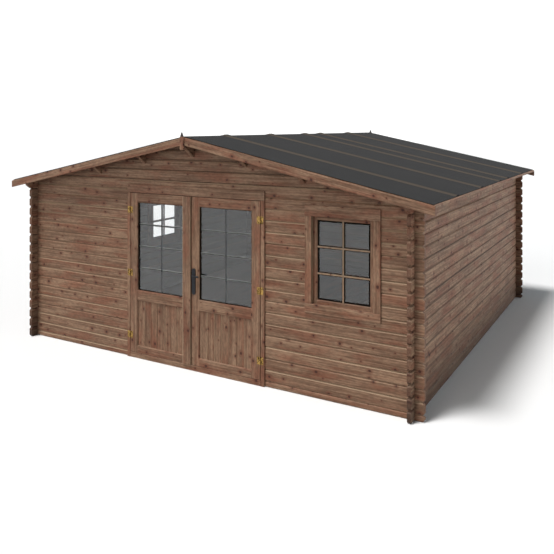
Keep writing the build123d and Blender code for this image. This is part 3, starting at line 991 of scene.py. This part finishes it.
# Painted light and shade: the crossbars pale as if lit from above through the glass, the uprights dark as if
# in shade.
lit_crossbar = abs(abs(x) - (glass_low.x + glass_high.x) / 2) > past_upright
grain = door_bar.noise(x * 40, y * 40, z * 40, detail=3.0)
lit_and_shaded_bar_colour = door_bar.blend(lit_crossbar, srgb(30, 26, 24), srgb(190, 187, 180))
door_bar.skin({
    "Base Color": door_bar.scale(lit_and_shaded_bar_colour, 0.75 + 0.5 * grain),
    "Roughness": 0.6 + 0.2 * grain,
    "Normal": door_bar.bump(grain, 0.0004),
})


# %% The place and the sizes of a pane
def pane_place(node, direction):
    """A pane's width and height, and a place at its lower corner with Z outwards from its front."""
    low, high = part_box(node)
    if direction == ALONG_X:
        place = axes(low, (1, 0, 0), (0, 0, 1), (0, -1, 0))
    else:
        place = axes((low.x, high.y, low.z), (0, -1, 0), (0, 0, 1), (-1, 0, 0))
    return high[direction] - low[direction], high.z - low.z, place


def pane_values(width, height, columns, rows, face, depth, material):
    """The values that bars and seals both need."""
    return {
        "Width": width, "Height": height, "Columns": columns, "Rows": rows, "Face": face, "Depth": depth,
        "Material": material,
    }


# %% Fit the bars and the seals
# Bars and seals are given as columns, rows, face and depth.
door_bars, door_shade_seal = (2, 4, 0.019, 0.014), (1, 1, 0.0025, 0.0138)
window_bars, window_shade_seal = (2, 3, 0.020, 0.012), (2, 3, 0.0155, 0.0038)
pane_thickness, bar_bevel = 0.006, 0.003
behind_glass = -pane_thickness - door_bars[3] / 2
before_glass = window_bars[3] / 2
door_set = ("door_timber", door_bars, behind_glass, door_bar.material, door_shade_seal)
front_set = ("frame_timber", window_bars, before_glass, front_bar, window_shade_seal)
left_set = ("frame_timber", window_bars, before_glass, left_bar, window_shade_seal)
for name, body, direction, (slot, bars, out, finish, lining) in (
    ("left_door", "left_door", ALONG_X, door_set),
    ("right_door", "right_door", ALONG_X, door_set),
    ("front_window", "cabin", ALONG_X, front_set),
    ("left_window", "cabin", ALONG_Y, left_set),
):
    width, height, place = pane_place(f"{name}_glass", direction)
    bar_values = {**pane_values(width, height, *bars, finish), "Bevel": bar_bevel}
    grid.make(f"{name}_bars", body, slot, place @ Matrix.Translation((0, 0, out)), bar_values)
    # Each seal is a black sheet of painted shade at the glass.
    shade_seal.make(f"{name}_seal", body, "felt", place, pane_values(width, height, *lining, shade_rubber))

# %% [markdown]
# ## Screws
# Three screws hold each hinge plate, and two each handle plate. The rule sets a crossed head on every point
# of a list.

# %% The rule for screws
screws = Rule("screws", {
    "Places": "Geometry", "Radius": "Float", "Rise": "Float", "Turn": "Vector", "Material": "Material",
})
radius, rise = screws["Radius"], screws["Rise"]
cap = screws.node("GeometryNodeMeshCylinder", sockets={"Vertices": 12, "Radius": radius, "Depth": rise})
lift = screws.join(0.0, 0.0, rise * 0.5)
slot_length, slot_width = radius * 1.3, radius * 0.34
slots = [
    screws.block(screws.join(slot_length, slot_width, rise), lift),
    screws.block(screws.join(slot_width, slot_length, rise), lift),
]
crossed_cap = screws.carve("DIFFERENCE", cap, slots)
caps = {"Points": screws["Places"], "Instance": crossed_cap, "Rotation": screws["Turn"]}
screws.finish(screws.node("GeometryNodeInstanceOnPoints", sockets=caps))

# %% Drive the hinge screws
hinge_heights = (0.255, 0.950, 1.655)
plate_middle, plate_thickness = 0.012, 0.003
screw_step, screw_stagger = 0.025, 0.004
front_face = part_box("left_door_frame")[0].y
out_of_front, out_of_back = (math.pi / 2, 0.6, 0.0), (-math.pi / 2, 0.6, 0.0)
hinge_screw = {"Radius": 0.0042, "Rise": 0.0014, "Turn": out_of_front, "Material": brass}
for side, sign in (("left", -1), ("right", 1)):
    for part, body, toward in (("frame", "cabin", sign), ("leaf", f"{side}_door", -sign)):
        low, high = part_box(f"{side}_door_{part}_hinges")
        middle = (high.x if toward > 0 else low.x) - toward * plate_middle
        places = []
        for height in hinge_heights:
            for step in (-1, 0, 1):
                across = middle + toward * (screw_stagger if step else -screw_stagger)
                places.append((across, front_face - plate_thickness, height + step * screw_step))
        name = f"{side}_{part}_hinge_screws"
        screws.make(name, body, "hinge_brass", Matrix.Identity(4), hinge_screw, places)

# %% Drive the handle screws
end_margin = 0.016
for node, face, turn in (("outside_handle", 0, out_of_front), ("inside_handle_plate", 1, out_of_back)):
    low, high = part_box(node)
    ends_of_plate = (low.z + end_margin, high.z - end_margin)
    places = [((low.x + high.x) / 2, (low, high)[face].y, end) for end in ends_of_plate]
    handle_screw = {"Radius": 0.0045, "Rise": 0.0016, "Turn": turn, "Material": black}
    screws.make(f"{node}_screws", "right_door", "handle_metal", Matrix.Identity(4), handle_screw, places)
